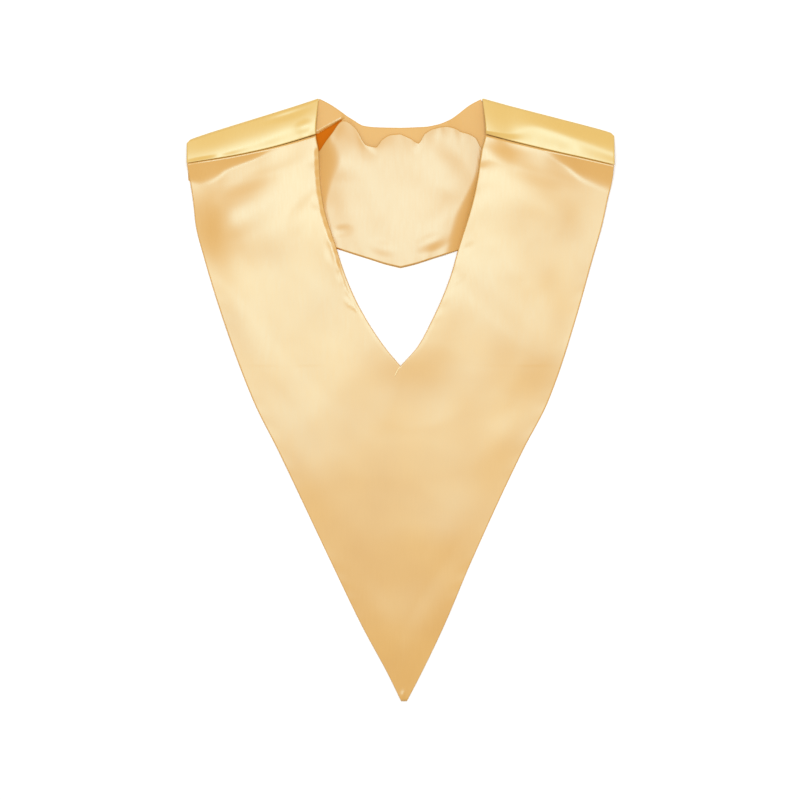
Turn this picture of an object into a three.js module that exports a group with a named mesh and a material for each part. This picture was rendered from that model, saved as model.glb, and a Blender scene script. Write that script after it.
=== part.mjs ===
// A satin graduation stole, laid flat: a front panel with a V, and a back panel that is folded forward
// over both shoulders, down to a seam on each side. +X is right, +Y runs towards the neck, +Z is up.
import * as THREE from "three";

// Driving dimensions, in millimetres.
const shoulderSpan = 426; // across the widest part, just under the shoulder folds
const stoleLength = 602; // from the neck points to the tip
const neckWidth = 163; // between the two neck points
const neckDepth = 267; // from the neck points down to the front V
const backNeckDrop = 29; // how far the back neck edge dips below the neck points
const backLength = 169; // from the neck points down to the point of the back hem
const bandDepth = 36; // from the fold to the seam, at the neck
const leftFoldFall = 41; // how much lower the fold ends at the arm than at the neck
const rightFoldFall = 34;
const leftBandLoss = 12; // how much narrower the band is at the arm than at the neck
const rightBandLoss = 3;
const leftSeamBow = 3; // how far the left seam sags below a straight line
const leftHemLean = 1; // how far the back panel's side leans in, down to its hem
const rightHemLean = 5;
const tipWidth = 5; // the turned point of the front panel

const clothThickness = 1.8; // shell and self lining, sewn and turned
const liningThickness = 1;
const layerGap = 0.3; // between pieces that lie on or meet each other
const foldHollow = 2.6; // clear height left inside a shoulder fold, over the lining
const cornerInset = 3; // rounding of a fold's outer corner
const neckRoll = 2.2; // how far the front panel's neck edges stand up
const rollWidth = 18; // width of the cloth that stands up with them
const hemSlope = 22; // run in which the front panel comes down to the table below the back hem
const liningInset = 3; // the lining stops this far inside the back hem
const swellHeight = 4; // the highest soft swell of the front panel
const liningSwellHeight = 2.4; // the highest swell of the lining
const edgeShare = 0.6; // a turned edge is this thin, as a share of the cloth
const neckLiftShare = 0.7; // the cloth rises at the neck points by this share of the fold's hollow
const neckLiftReach = 42; // and comes down to the table this far from them

const armColumns = 11;
const armRows = 17;
const bodyRows = 17;
const neckColumns = 14;
const shoulderColumns = 10;
const backRows = 8;
const foldSteps = 6;
const bandRows = 3;
const liningRows = 7;

// Outer edge. down: share of the stole length. left, right: shares of half the shoulder span.
const sideOutline = [
  { down: 0.0, left: 0.965, right: 0.965 },
  { down: 0.078, left: 1.0, right: 0.998 },
  { down: 0.109, left: 0.998, right: 0.997 },
  { down: 0.131, left: 0.989, right: 0.993 },
  { down: 0.171, left: 0.972, right: 0.97 },
  { down: 0.211, left: 0.96, right: 0.946 },
  { down: 0.264, left: 0.922, right: 0.904 },
  { down: 0.37, left: 0.829, right: 0.819 },
  { down: 0.503, left: 0.688, right: 0.692 },
  { down: 0.583, left: 0.575, right: 0.575 },
  { down: 0.769, left: 0.326, right: 0.331 },
  { down: 0.875, left: 0.181, right: 0.204 },
  { down: 0.955, left: 0.059, right: 0.096 },
  { down: 1.0, left: -0.003, right: 0.03 },
];

// Neck opening of the front panel. down: share of the neck depth.
// left, right: shares of half the neck width.
const neckOutline = [
  { down: 0.0, left: 1.0, right: 1.0 },
  { down: 0.13, left: 1.035, right: 1.04 },
  { down: 0.195, left: 1.003, right: 0.993 },
  { down: 0.3, left: 0.986, right: 0.942 },
  { down: 0.397, left: 0.946, right: 0.874 },
  { down: 0.562, left: 0.782, right: 0.708 },
  { down: 0.655, left: 0.683, right: 0.622 },
  { down: 0.745, left: 0.56, right: 0.511 },
  { down: 0.835, left: 0.4, right: 0.375 },
  { down: 0.925, left: 0.203, right: 0.215 },
  { down: 1.0, left: 0.0, right: 0.0 },
];

// Back neck edge. across: share of half the neck width. left, right: shares of the back neck drop.
const backNeckEdge = [
  { across: 0.0, left: 1.0, right: 1.0 },
  { across: 0.3, left: 0.98, right: 0.965 },
  { across: 0.45, left: 0.93, right: 0.89 },
  { across: 0.59, left: 0.71, right: 0.74 },
  { across: 0.86, left: 0.2, right: 0.2 },
  { across: 1.0, left: 0.0, right: 0.0 },
];

// Back hem. across: share of half the shoulder span. drop: share of the back length.
const backHem = [
  { across: 0.0, drop: 1.0 },
  { across: 0.067, drop: 0.98 },
  { across: 0.14, drop: 0.951 },
  { across: 0.25, drop: 0.907 },
  { across: 0.47, drop: 0.81 },
  { across: 0.66, drop: 0.716 },
  { across: 0.82, drop: 0.62 },
  { across: 0.94, drop: 0.535 },
  { across: 1.0, drop: 0.48 },
];

// Upper edge of the lining, with its puckers. across: share of half the shoulder span.
// left, right: shares of the back length, measured down from the neck points.
const liningEdge = [
  { across: 0.0, left: 0.207, right: 0.207 },
  { across: 0.045, left: 0.212, right: 0.24 },
  { across: 0.085, left: 0.24, right: 0.264 },
  { across: 0.115, left: 0.286, right: 0.205 },
  { across: 0.16, left: 0.278, right: 0.176 },
  { across: 0.215, left: 0.18, right: 0.168 },
  { across: 0.265, left: 0.15, right: 0.18 },
  { across: 0.304, left: 0.219, right: 0.205 },
  { across: 0.35, left: 0.27, right: 0.235 },
  { across: 0.385, left: 0.312, right: 0.3 },
  { across: 0.52, left: 0.38, right: 0.36 },
  { across: 0.72, left: 0.43, right: 0.41 },
  { across: 0.93, left: 0.47, right: 0.46 },
];

// Soft swells of the front panel. across: share of half the shoulder span, minus on the left.
// down, run: shares of the stole length. reach: share of half the shoulder span. turn: degrees from +X.
// rise: share of the swell height.
const frontSwells = [
  { across: -0.5, down: 0.13, run: 0.12, reach: 0.13, turn: 40, rise: 0.55 },
  { across: -0.8, down: 0.22, run: 0.17, reach: 0.16, turn: 105, rise: 0.75 },
  { across: -0.42, down: 0.22, run: 0.15, reach: 0.14, turn: 100, rise: 0.8 },
  { across: -0.24, down: 0.4, run: 0.14, reach: 0.14, turn: 122, rise: 0.6 },
  { across: -0.55, down: 0.45, run: 0.2, reach: 0.18, turn: 118, rise: 1.0 },
  { across: 0.4, down: 0.22, run: 0.15, reach: 0.13, turn: 76, rise: 0.8 },
  { across: 0.72, down: 0.16, run: 0.14, reach: 0.13, turn: -38, rise: 0.6 },
  { across: 0.78, down: 0.3, run: 0.15, reach: 0.15, turn: 72, rise: 0.7 },
  { across: 0.24, down: 0.4, run: 0.14, reach: 0.14, turn: 58, rise: 0.55 },
  { across: 0.5, down: 0.5, run: 0.19, reach: 0.17, turn: 62, rise: 0.9 },
  { across: -0.1, down: 0.58, run: 0.16, reach: 0.24, turn: 20, rise: 0.6 },
  { across: -0.14, down: 0.76, run: 0.17, reach: 0.13, turn: 112, rise: 0.6 },
  { across: 0.18, down: 0.78, run: 0.15, reach: 0.12, turn: 68, rise: 0.5 },
];

// Swells of the lining, in the columns above. The rise is a share of the lining's swell height.
const liningSwells = [
  { across: -0.27, down: 0.045, run: 0.03, reach: 0.09, turn: 48, rise: 1.0 },
  { across: 0.32, down: 0.06, run: 0.035, reach: 0.1, turn: -40, rise: 0.6 },
  { across: -0.1, down: 0.14, run: 0.07, reach: 0.18, turn: 20, rise: 0.4 },
  { across: 0.16, down: 0.19, run: 0.06, reach: 0.14, turn: 62, rise: 0.4 },
];

const halfSpan = shoulderSpan / 2;
const halfNeck = neckWidth / 2;
const neckY = stoleLength / 2;
const tipY = neckY - stoleLength;
const vY = neckY - neckDepth;
const layerLift = clothThickness + layerGap + liningThickness + layerGap; // front panel over the back
const foldRadius = (layerGap + liningThickness + foldHollow + clothThickness) / 2; // middle of the cloth
const foldReach = foldRadius + clothThickness / 2;

const shoulders = {
  left: { sign: -1, fall: leftFoldFall, loss: leftBandLoss, bow: leftSeamBow, hemLean: leftHemLean },
  right: { sign: 1, fall: rightFoldFall, loss: rightBandLoss, bow: 0, hemLean: rightHemLean },
};

// Smooth value of one table column at a place in its key column. It never overshoots its rows.
function readTable(rows, key, column, place) {
  const last = rows.length - 1;
  let i = 0;
  while (i < last - 1 && place > rows[i + 1][key]) i += 1;
  const slope = (n) => (rows[n + 1][column] - rows[n][column]) / (rows[n + 1][key] - rows[n][key]);
  const tangent = (n) => {
    if (n === 0) return slope(0);
    if (n === last) return slope(last - 1);
    const before = slope(n - 1);
    const after = slope(n);
    return before * after <= 0 ? 0 : (2 * before * after) / (before + after);
  };
  const width = rows[i + 1][key] - rows[i][key];
  const s = THREE.MathUtils.clamp((place - rows[i][key]) / width, 0, 1);
  const s2 = s * s;
  const s3 = s2 * s;
  return (
    (2 * s3 - 3 * s2 + 1) * rows[i][column] +
    (s3 - 2 * s2 + s) * width * tangent(i) +
    (3 * s2 - 2 * s3) * rows[i + 1][column] +
    (s3 - s2) * width * tangent(i + 1)
  );
}

function sideName(x) {
  return x < 0 ? "left" : "right";
}

function outerX(side, y) {
  return shoulders[side].sign * halfSpan * readTable(sideOutline, "down", side, (neckY - y) / stoleLength);
}

function neckX(side, y) {
  return shoulders[side].sign * halfNeck * readTable(neckOutline, "down", side, (neckY - y) / neckDepth);
}

// 0 at the neck point, 1 at the outer end of the shoulder.
function shoulderShare(x) {
  return THREE.MathUtils.clamp((Math.abs(x) - halfNeck) / (halfSpan - halfNeck), 0, 1);
}

function foldY(x) {
  return neckY - shoulders[sideName(x)].fall * shoulderShare(x);
}

function seamY(x) {
  const { loss, bow } = shoulders[sideName(x)];
  const share = shoulderShare(x);
  return foldY(x) - bandDepth + loss * share - bow * Math.sin(Math.PI * share);
}

function backNeckY(x) {
  const across = Math.abs(x) / halfNeck;
  return neckY - backNeckDrop * readTable(backNeckEdge, "across", sideName(x), across);
}

function hemY(x) {
  return neckY - backLength * readTable(backHem, "across", "drop", Math.abs(x) / halfSpan);
}

function liningTopY(x) {
  return neckY - backLength * readTable(liningEdge, "across", sideName(x), Math.abs(x) / halfSpan);
}

// Height of the soft swells at a place, each a smooth mound on an oval.
function swellAt(swells, height, x, y) {
  let total = 0;
  for (const swell of swells) {
    const turn = THREE.MathUtils.degToRad(swell.turn);
    const dx = x - swell.across * halfSpan;
    const dy = y - (neckY - swell.down * stoleLength);
    const along = (dx * Math.cos(turn) + dy * Math.sin(turn)) / (swell.run * stoleLength);
    const beside = (dy * Math.cos(turn) - dx * Math.sin(turn)) / (swell.reach * halfSpan);
    total += height * swell.rise * mound(Math.hypot(along, beside));
  }
  return total;
}

// 1 at the middle, falling smoothly to 0 at a distance of 1.
function mound(away) {
  return Math.cos((Math.min(1, away) * Math.PI) / 2) ** 2;
}

// How far the back panel is off the table, close to a neck point.
function neckLift(x, y) {
  const away = Math.hypot(Math.abs(x) - halfNeck, y - neckY) / neckLiftReach;
  return neckLiftShare * foldHollow * mound(away);
}

// Underside of the front panel: on the table below the back hem, on the back panel above it, and
// standing up a little along the neck edges.
function frontUnderside(x, y) {
  const { smoothstep } = THREE.MathUtils;
  const rowStep = stoleLength / (armRows + bodyRows);
  const fullLiftY = hemY(x) - rowStep;
  const lift = layerLift * smoothstep(y, fullLiftY - hemSlope, fullLiftY);
  const seamFade = smoothstep(seamY(x) - y, 0, bandDepth);
  const rollFade = smoothstep(y, vY, vY + bandDepth);
  const fromNeck = Math.abs(x - neckX(sideName(x), Math.max(y, vY))) / rollWidth;
  const roll = rollFade * neckRoll * mound(fromNeck);
  return lift + seamFade * (roll + swellAt(frontSwells, swellHeight, x, y));
}

// Closed solid of a sheet with rounded edges. cells lists its grid squares as [column, row], point gives
// a grid point's middle and normal, and name joins grid points that are one point of the cloth.
function sheetSolid(cells, thickness, point, name = (i, j) => `${i},${j}`) {
  const corners = ([i, j]) => [[i, j], [i + 1, j], [i + 1, j + 1], [i, j + 1]];
  const grid = new Map();
  const edges = new Map();
  for (const cell of cells) {
    corners(cell).forEach((start, n, ring) => {
      const end = ring[(n + 1) % ring.length];
      grid.set(name(...start), start);
      edges.set(`${name(...start)} ${name(...end)}`, [name(...start), name(...end)]);
    });
  }
  const rim = [...edges.values()].filter(([start, end]) => !edges.has(`${end} ${start}`));
  const onRim = new Set(rim.flat());
  const position = [];
  const upper = new Map();
  for (const [label, corner] of grid) {
    const { middle, normal } = point(...corner);
    const half = (thickness / 2) * (onRim.has(label) ? edgeShare : 1);
    upper.set(label, position.length / 3);
    position.push(...middle.clone().addScaledVector(normal, half));
    position.push(...middle.clone().addScaledVector(normal, -half));
  }
  const index = [];
  for (const cell of cells) {
    const [a, b, c, d] = corners(cell).map((corner) => upper.get(name(...corner)));
    index.push(a, b, c, a, c, d);
    index.push(a + 1, c + 1, b + 1, a + 1, d + 1, c + 1);
  }
  for (const [start, end] of rim) {
    const a = upper.get(start);
    const b = upper.get(end);
    index.push(a, a + 1, b + 1, a, b + 1, b);
  }
  const geometry = new THREE.BufferGeometry();
  geometry.setAttribute("position", new THREE.Float32BufferAttribute(position, 3));
  geometry.setIndex(index);
  geometry.computeVertexNormals();
  return geometry;
}

function sheetMesh(name, color, roughness, geometry) {
  const material = new THREE.MeshStandardMaterial({ color, roughness, metalness: 0 });
  const mesh = new THREE.Mesh(geometry, material);
  mesh.name = name;
  return mesh;
}

function cellsOf(columns, rows, keep) {
  const cells = [];
  for (let j = 0; j < rows; j += 1) {
    for (let i = 0; i < columns; i += 1) {
      if (keep(i, j)) cells.push([i, j]);
    }
  }
  return cells;
}

// The V: two arms that hang from the shoulder seams, one body below the neck opening, and the tip.
// Its middle column is doubled, and the two are one column up to the V, where the arms part.
function frontPanel() {
  const { lerp } = THREE.MathUtils;
  const bodyPoint = (side, outward, j) => {
    const y = lerp(tipY, vY, j / bodyRows);
    const centre = (outerX("left", y) + outerX("right", y)) / 2;
    const halfWidth = Math.max(Math.abs(outerX(side, y) - centre), tipWidth / 2);
    return [centre + shoulders[side].sign * outward * halfWidth, y];
  };
  const armPoint = (side, outward, j) => {
    const up = j / armRows;
    const { sign } = shoulders[side];
    const outerTop = seamY(sign * halfSpan) - layerGap;
    const neckTop = seamY(sign * halfNeck) - layerGap;
    const outerY = lerp(vY, outerTop, up);
    const neckEdgeY = lerp(vY, neckTop, up);
    const x = lerp(neckX(side, neckEdgeY), outerX(side, outerY), outward);
    const seamBend = seamY(x) - layerGap - lerp(neckTop, outerTop, outward);
    return [x, lerp(neckEdgeY, outerY, outward) + seamBend * up ** 2];
  };
  const point = (i, j) => {
    const side = i <= armColumns ? "left" : "right";
    const outward = (i <= armColumns ? armColumns - i : i - armColumns - 1) / armColumns;
    const [x, y] = j <= bodyRows ? bodyPoint(side, outward, j) : armPoint(side, outward, j - bodyRows);
    const middle = new THREE.Vector3(x, y, frontUnderside(x, y) + clothThickness / 2);
    return { middle, normal: new THREE.Vector3(0, 0, 1) };
  };
  const name = (i, j) => (i === armColumns + 1 && j <= bodyRows ? `${i - 1},${j}` : `${i},${j}`);
  const cells = cellsOf(2 * armColumns + 1, bodyRows + armRows, (i) => i !== armColumns);
  return sheetSolid(cells, clothThickness, point, name);
}

// The back: a scooped neck edge and a pointed hem, lying on the table. At each shoulder it goes on over
// a soft fold and comes forward as a band, down to the seam. Its upper face is the inside of the fold.
function backPanel() {
  const { lerp } = THREE.MathUtils;
  const columns = 2 * shoulderColumns + neckColumns;
  const lastColumn = shoulderColumns + neckColumns;
  const foldStart = backRows;
  const bandStart = backRows + foldSteps;
  const seamRow = bandStart + bandRows;
  const columnX = (i) => {
    if (i <= shoulderColumns) return lerp(-halfSpan, -halfNeck, i / shoulderColumns);
    if (i >= lastColumn) return lerp(halfNeck, halfSpan, (i - lastColumn) / shoulderColumns);
    return lerp(-halfNeck, halfNeck, (i - shoulderColumns) / neckColumns);
  };
  const onShoulder = (i) => i <= shoulderColumns || i >= lastColumn;
  const middleLow = clothThickness / 2;

  const lyingPoint = (i, j) => {
    const x = columnX(i);
    const up = j / foldStart;
    const top = onShoulder(i) ? foldY(x) - foldReach : backNeckY(x);
    const lean = (shoulders[sideName(x)].hemLean / halfSpan) * (1 - up);
    const y = lerp(hemY(x), top, up);
    const middle = new THREE.Vector3(x * (1 - lean), y, middleLow + neckLift(x, y));
    return { middle, normal: new THREE.Vector3(0, 0, 1) };
  };
  const foldPoint = (i, j) => {
    const x = columnX(i);
    const turn = Math.PI * ((j - foldStart) / foldSteps - 0.5);
    const inset = cornerInset * Math.cos(turn) * shoulderShare(x) ** 8;
    const y = foldY(x) - foldReach + foldRadius * Math.cos(turn);
    const low = middleLow + neckLift(x, foldY(x) - foldReach);
    const z = lerp(low, middleLow + 2 * foldRadius, (1 + Math.sin(turn)) / 2);
    const normal = new THREE.Vector3(0, -Math.cos(turn), -Math.sin(turn));
    return { middle: new THREE.Vector3(x - Math.sign(x) * inset, y, z), normal };
  };
  const bandPoint = (i, j) => {
    const x = columnX(i);
    const side = sideName(x);
    const down = (j - bandStart) / bandRows;
    const y = lerp(foldY(x) - foldReach, seamY(x), down);
    const neckShift = neckX(side, y) - shoulders[side].sign * halfNeck;
    const z = lerp(middleLow + 2 * foldRadius, layerLift + clothThickness / 2, down ** 2);
    const middle = new THREE.Vector3(x + neckShift * (1 - shoulderShare(x)), y, z);
    return { middle, normal: new THREE.Vector3(0, 0, -1) };
  };
  const point = (i, j) => {
    if (j <= foldStart) return lyingPoint(i, j);
    return j < bandStart ? foldPoint(i, j) : bandPoint(i, j);
  };
  const keep = (i, j) => j < foldStart || i < shoulderColumns || i >= lastColumn;
  return sheetSolid(cellsOf(columns, seamRow, keep), clothThickness, point);
}

// The lining that shows in the neck opening, with a puckered upper edge and a lip at the left neck point.
function backLining() {
  const { lerp } = THREE.MathUtils;
  const right = liningEdge.map((row) => row.across * halfSpan);
  const columnX = [...right.slice(1).reverse().map((x) => -x), ...right];
  const point = (i, j) => {
    const x = columnX[i];
    const y = lerp(hemY(x) + liningInset, liningTopY(x), j / liningRows);
    const swell = swellAt(liningSwells, liningSwellHeight, x, y);
    const z = clothThickness + layerGap + liningThickness / 2 + neckLift(x, y) + swell;
    return { middle: new THREE.Vector3(x, y, z), normal: new THREE.Vector3(0, 0, 1) };
  };
  return sheetSolid(cellsOf(columnX.length - 1, liningRows, () => true), liningThickness, point);
}

const stole = new THREE.Group();
stole.add(sheetMesh("front_panel", 0xf0d39e, 0.42, frontPanel()));
stole.add(sheetMesh("back_panel", 0xecc67e, 0.42, backPanel()));
stole.add(sheetMesh("back_lining", 0xf9e2b8, 0.45, backLining()));

export default stole;
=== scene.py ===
import math
import bpy
import numpy as np
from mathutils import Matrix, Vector


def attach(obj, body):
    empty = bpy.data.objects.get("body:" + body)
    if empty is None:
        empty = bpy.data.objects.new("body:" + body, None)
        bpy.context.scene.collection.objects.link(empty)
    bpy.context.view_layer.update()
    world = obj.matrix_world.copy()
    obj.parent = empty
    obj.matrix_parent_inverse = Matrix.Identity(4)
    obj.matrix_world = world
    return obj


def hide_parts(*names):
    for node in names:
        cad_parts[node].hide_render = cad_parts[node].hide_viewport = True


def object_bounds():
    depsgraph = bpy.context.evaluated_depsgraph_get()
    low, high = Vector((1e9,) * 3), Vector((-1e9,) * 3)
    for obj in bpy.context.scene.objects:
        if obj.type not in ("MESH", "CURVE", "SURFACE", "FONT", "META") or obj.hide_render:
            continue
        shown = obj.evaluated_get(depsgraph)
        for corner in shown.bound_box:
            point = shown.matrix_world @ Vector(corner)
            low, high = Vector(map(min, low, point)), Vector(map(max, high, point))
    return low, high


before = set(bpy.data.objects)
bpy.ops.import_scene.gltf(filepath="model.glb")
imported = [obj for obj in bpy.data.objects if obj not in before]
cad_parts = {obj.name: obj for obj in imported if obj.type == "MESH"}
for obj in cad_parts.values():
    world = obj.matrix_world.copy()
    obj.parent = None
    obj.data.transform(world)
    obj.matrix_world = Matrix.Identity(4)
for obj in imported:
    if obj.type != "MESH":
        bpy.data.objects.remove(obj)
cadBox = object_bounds()
cadSize = cadBox[1] - cadBox[0]
print("frame loaded, CAD box in mm:", [round(side * 1000, 1) for side in cadSize])

mm = 0.001  # everything below is worked out in millimetres, and made in metres

# The cut of the stole. Widths and lengths that the frame gives are read from it.
stole = {
    "halfSpan": cadSize.x / mm / 2,
    "neckY": cadSize.y / mm / 2,
    "length": cadSize.y / mm,
    "halfNeck": 81.5,
    "neckDepth": 267,
    "backNeckDrop": 29,
    "backLength": 169,
    "bandDepth": 36,
    "cloth": 1.6,  # shell and self lining together
    "lining": 0.9,
    "gap": 0.35,  # air between layers, so that none shows through another
    "seamGap": 0.38,  # the groove of a shoulder seam
    "seamSlope": 50,  # this far below a shoulder seam the cloth is down again
    "seamTurn": 2,  # an edge in a seam is this many times as sharp as a turned one
    "foldHeight": 6.6,  # over both layers, at the shoulder folds
    "turnedRadius": 0.9,  # how round a turned edge is
    "edgeLeast": 0.02,  # and how blunt its very rim
    "raiseClear": 2.5, "raiseReach": 32, "raiseDown": 48,  # where the thicker neck points fade out
}

shoulders = {
    "left": {"sign": -1, "fall": 41, "loss": 12, "bow": 3, "hemLean": 1, "neckRaise": 1.3, "outerRamp": 75},
    "right": {"sign": 1, "fall": 34, "loss": 3, "bow": 0, "hemLean": 5, "neckRaise": 3.1, "outerRamp": 130},
}

# Outer edge. down: share of the stole's length. left, right: shares of half the span.
sideOutline = [
    {"down": 0.0, "left": 0.965, "right": 0.965},
    {"down": 0.078, "left": 1.0, "right": 0.998},
    {"down": 0.109, "left": 0.998, "right": 0.997},
    {"down": 0.131, "left": 0.989, "right": 0.993},
    {"down": 0.171, "left": 0.972, "right": 0.97},
    {"down": 0.211, "left": 0.96, "right": 0.946},
    {"down": 0.264, "left": 0.922, "right": 0.904},
    {"down": 0.37, "left": 0.829, "right": 0.819},
    {"down": 0.503, "left": 0.688, "right": 0.692},
    {"down": 0.583, "left": 0.575, "right": 0.575},
    {"down": 0.769, "left": 0.326, "right": 0.331},
    {"down": 0.875, "left": 0.181, "right": 0.204},
    {"down": 0.955, "left": 0.059, "right": 0.096},
    {"down": 1.0, "left": -0.003, "right": 0.03},
]

# Neck opening of the front. down: share of the neck depth. left, right: shares of half the neck.
neckOutline = [
    {"down": 0.0, "left": 1.0, "right": 1.0},
    {"down": 0.13, "left": 1.035, "right": 1.04},
    {"down": 0.195, "left": 1.003, "right": 0.993},
    {"down": 0.3, "left": 0.986, "right": 0.942},
    {"down": 0.397, "left": 0.946, "right": 0.874},
    {"down": 0.562, "left": 0.782, "right": 0.708},
    {"down": 0.655, "left": 0.683, "right": 0.622},
    {"down": 0.745, "left": 0.56, "right": 0.511},
    {"down": 0.835, "left": 0.4, "right": 0.375},
    {"down": 0.925, "left": 0.203, "right": 0.215},
    {"down": 1.0, "left": 0.0, "right": 0.0},
]

# Back neck edge. across: share of half the neck. left, right: shares of the back neck drop.
backNeckEdge = [
    {"across": 0.0, "left": 1.0, "right": 1.0},
    {"across": 0.3, "left": 0.98, "right": 0.965},
    {"across": 0.45, "left": 0.93, "right": 0.89},
    {"across": 0.59, "left": 0.71, "right": 0.74},
    {"across": 0.86, "left": 0.2, "right": 0.2},
    {"across": 1.0, "left": 0.0, "right": 0.0},
]

# Back hem. across: share of half the span. drop: share of the back length.
backHem = [
    {"across": 0.0, "drop": 1.0},
    {"across": 0.067, "drop": 0.98},
    {"across": 0.14, "drop": 0.951},
    {"across": 0.25, "drop": 0.907},
    {"across": 0.47, "drop": 0.81},
    {"across": 0.66, "drop": 0.716},
    {"across": 0.82, "drop": 0.62},
    {"across": 0.94, "drop": 0.535},
    {"across": 1.0, "drop": 0.48},
]

# Upper edge of the lining. across: share of half the span. left, right: shares of the back length.
liningEdge = [
    {"across": 0.0, "left": 0.207, "right": 0.207},
    {"across": 0.045, "left": 0.212, "right": 0.232},
    {"across": 0.085, "left": 0.24, "right": 0.262},
    {"across": 0.115, "left": 0.286, "right": 0.205},
    {"across": 0.16, "left": 0.274, "right": 0.174},
    {"across": 0.215, "left": 0.168, "right": 0.163},
    {"across": 0.265, "left": 0.13, "right": 0.178},
    {"across": 0.28, "left": 0.138, "right": 0.192},
    {"across": 0.32, "left": 0.205, "right": 0.206},
    {"across": 0.35, "left": 0.254, "right": 0.228},
    {"across": 0.385, "left": 0.312, "right": 0.3},
    {"across": 0.52, "left": 0.38, "right": 0.36},
    {"across": 0.72, "left": 0.43, "right": 0.41},
    {"across": 0.93, "left": 0.47, "right": 0.46},
]


# Smooth values of one table column at places in its key column, without overshoot.
def readTable(rows, key, column, places):
    keys = np.array([row[key] for row in rows], float)
    values = np.array([row[column] for row in rows], float)
    slopes = np.diff(values) / np.diff(keys)
    tangents = np.concatenate([slopes[:1], np.zeros(len(keys) - 2), slopes[-1:]])
    together = slopes[:-1] + slopes[1:]
    rising = slopes[:-1] * slopes[1:] > 0
    tangents[1:-1][rising] = (2 * slopes[:-1] * slopes[1:])[rising] / together[rising]
    i = np.clip(np.searchsorted(keys, places, side="right") - 1, 0, len(keys) - 2)
    width = keys[i + 1] - keys[i]
    s = np.clip((places - keys[i]) / width, 0, 1)
    return (
        (2 * s**3 - 3 * s**2 + 1) * values[i]
        + (s**3 - 2 * s**2 + s) * width * tangents[i]
        + (3 * s**2 - 2 * s**3) * values[i + 1]
        + (s**3 - s**2) * width * tangents[i + 1]
    )


def readSided(rows, key, places, x):
    left = readTable(rows, key, "left", places)
    right = readTable(rows, key, "right", places)
    return np.where(x < 0, left, right)


def mix(a, b, share):
    return a + (b - a) * share


def smoothStep(low, high, value):
    s = np.clip((value - low) / (high - low), 0, 1)
    return s * s * (3 - 2 * s)


def outerX(side, y):
    down = (stole["neckY"] - y) / stole["length"]
    return shoulders[side]["sign"] * stole["halfSpan"] * readTable(sideOutline, "down", side, down)


def neckX(side, y):
    down = (stole["neckY"] - y) / stole["neckDepth"]
    return shoulders[side]["sign"] * stole["halfNeck"] * readTable(neckOutline, "down", side, down)


# 0 at the neck point, 1 at the outer end of the shoulder.
def shoulderShare(x):
    return np.clip((np.abs(x) - stole["halfNeck"]) / (stole["halfSpan"] - stole["halfNeck"]), 0, 1)


def sided(name, x):
    return np.where(x < 0, shoulders["left"][name], shoulders["right"][name])


def foldY(x):
    return stole["neckY"] - sided("fall", x) * shoulderShare(x)


def seamY(x):
    share = shoulderShare(x)
    bow = sided("bow", x) * np.sin(np.pi * share)
    return foldY(x) - stole["bandDepth"] + sided("loss", x) * share - bow


def backNeckY(x):
    drop = readSided(backNeckEdge, "across", np.abs(x) / stole["halfNeck"], x)
    return stole["neckY"] - stole["backNeckDrop"] * drop


def hemY(x):
    drop = readTable(backHem, "across", "drop", np.abs(x) / stole["halfSpan"])
    return stole["neckY"] - stole["backLength"] * drop


def liningTopY(x):
    drop = readSided(liningEdge, "across", np.abs(x) / stole["halfSpan"], x)
    return stole["neckY"] - stole["backLength"] * drop


# Shares from 0 to 1, close together towards both ends, where the edges are round.
def edgeShares(count, crowding):
    t = np.linspace(0, 1, count + 1)
    return t - crowding * np.sin(2 * np.pi * t) / (2 * np.pi)


# Half the cloth's thickness at a distance from its edge: round like a turned edge.
def turnedHalf(thickness, fromEdge):
    inside = np.clip(fromEdge / stole["turnedRadius"], 0, 1)
    return thickness / 2 * np.sqrt(np.clip(1 - (1 - inside) ** 2, stole["edgeLeast"], 1))


# Normals for a grid of points in cloth that lies face up.
def flatNormal(middle):
    normal = np.zeros_like(middle)
    normal[..., 2] = 1
    return normal


# 1 in the middle, smoothly down to 0 at reach from it.
def hill(value, middle, reach):
    return np.cos(np.minimum(1, np.abs(value - middle) / reach) * np.pi / 2) ** 2


# Height of soft folds, each a smooth mound on an oval. turn is in degrees from +X.
def foldHeight(folds, x, y):
    total = np.zeros_like(x)
    for fold in folds:
        turn = math.radians(fold["turn"])
        dx = x - fold["x"]
        dy = y - fold["y"]
        along = (dx * math.cos(turn) + dy * math.sin(turn)) / fold["run"]
        beside = (dy * math.cos(turn) - dx * math.sin(turn)) / fold["reach"]
        total += fold["rise"] * hill(np.hypot(along, beside), 0, 1)
    return total


# Slight unevenness of cloth that was folded and lies by its own weight: waves in all directions.
def unevenness(x, y, wavelength, waves, seed):
    draw = np.random.default_rng(seed)
    total = np.zeros_like(x)
    for _ in range(waves):
        heading = draw.uniform(0, 2 * np.pi)
        wave = wavelength * draw.uniform(0.7, 1.5)
        phase = draw.uniform(0, 2 * np.pi)
        total += np.sin(2 * np.pi * (x * math.cos(heading) + y * math.sin(heading)) / wave + phase)
    return total / math.sqrt(waves)


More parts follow.
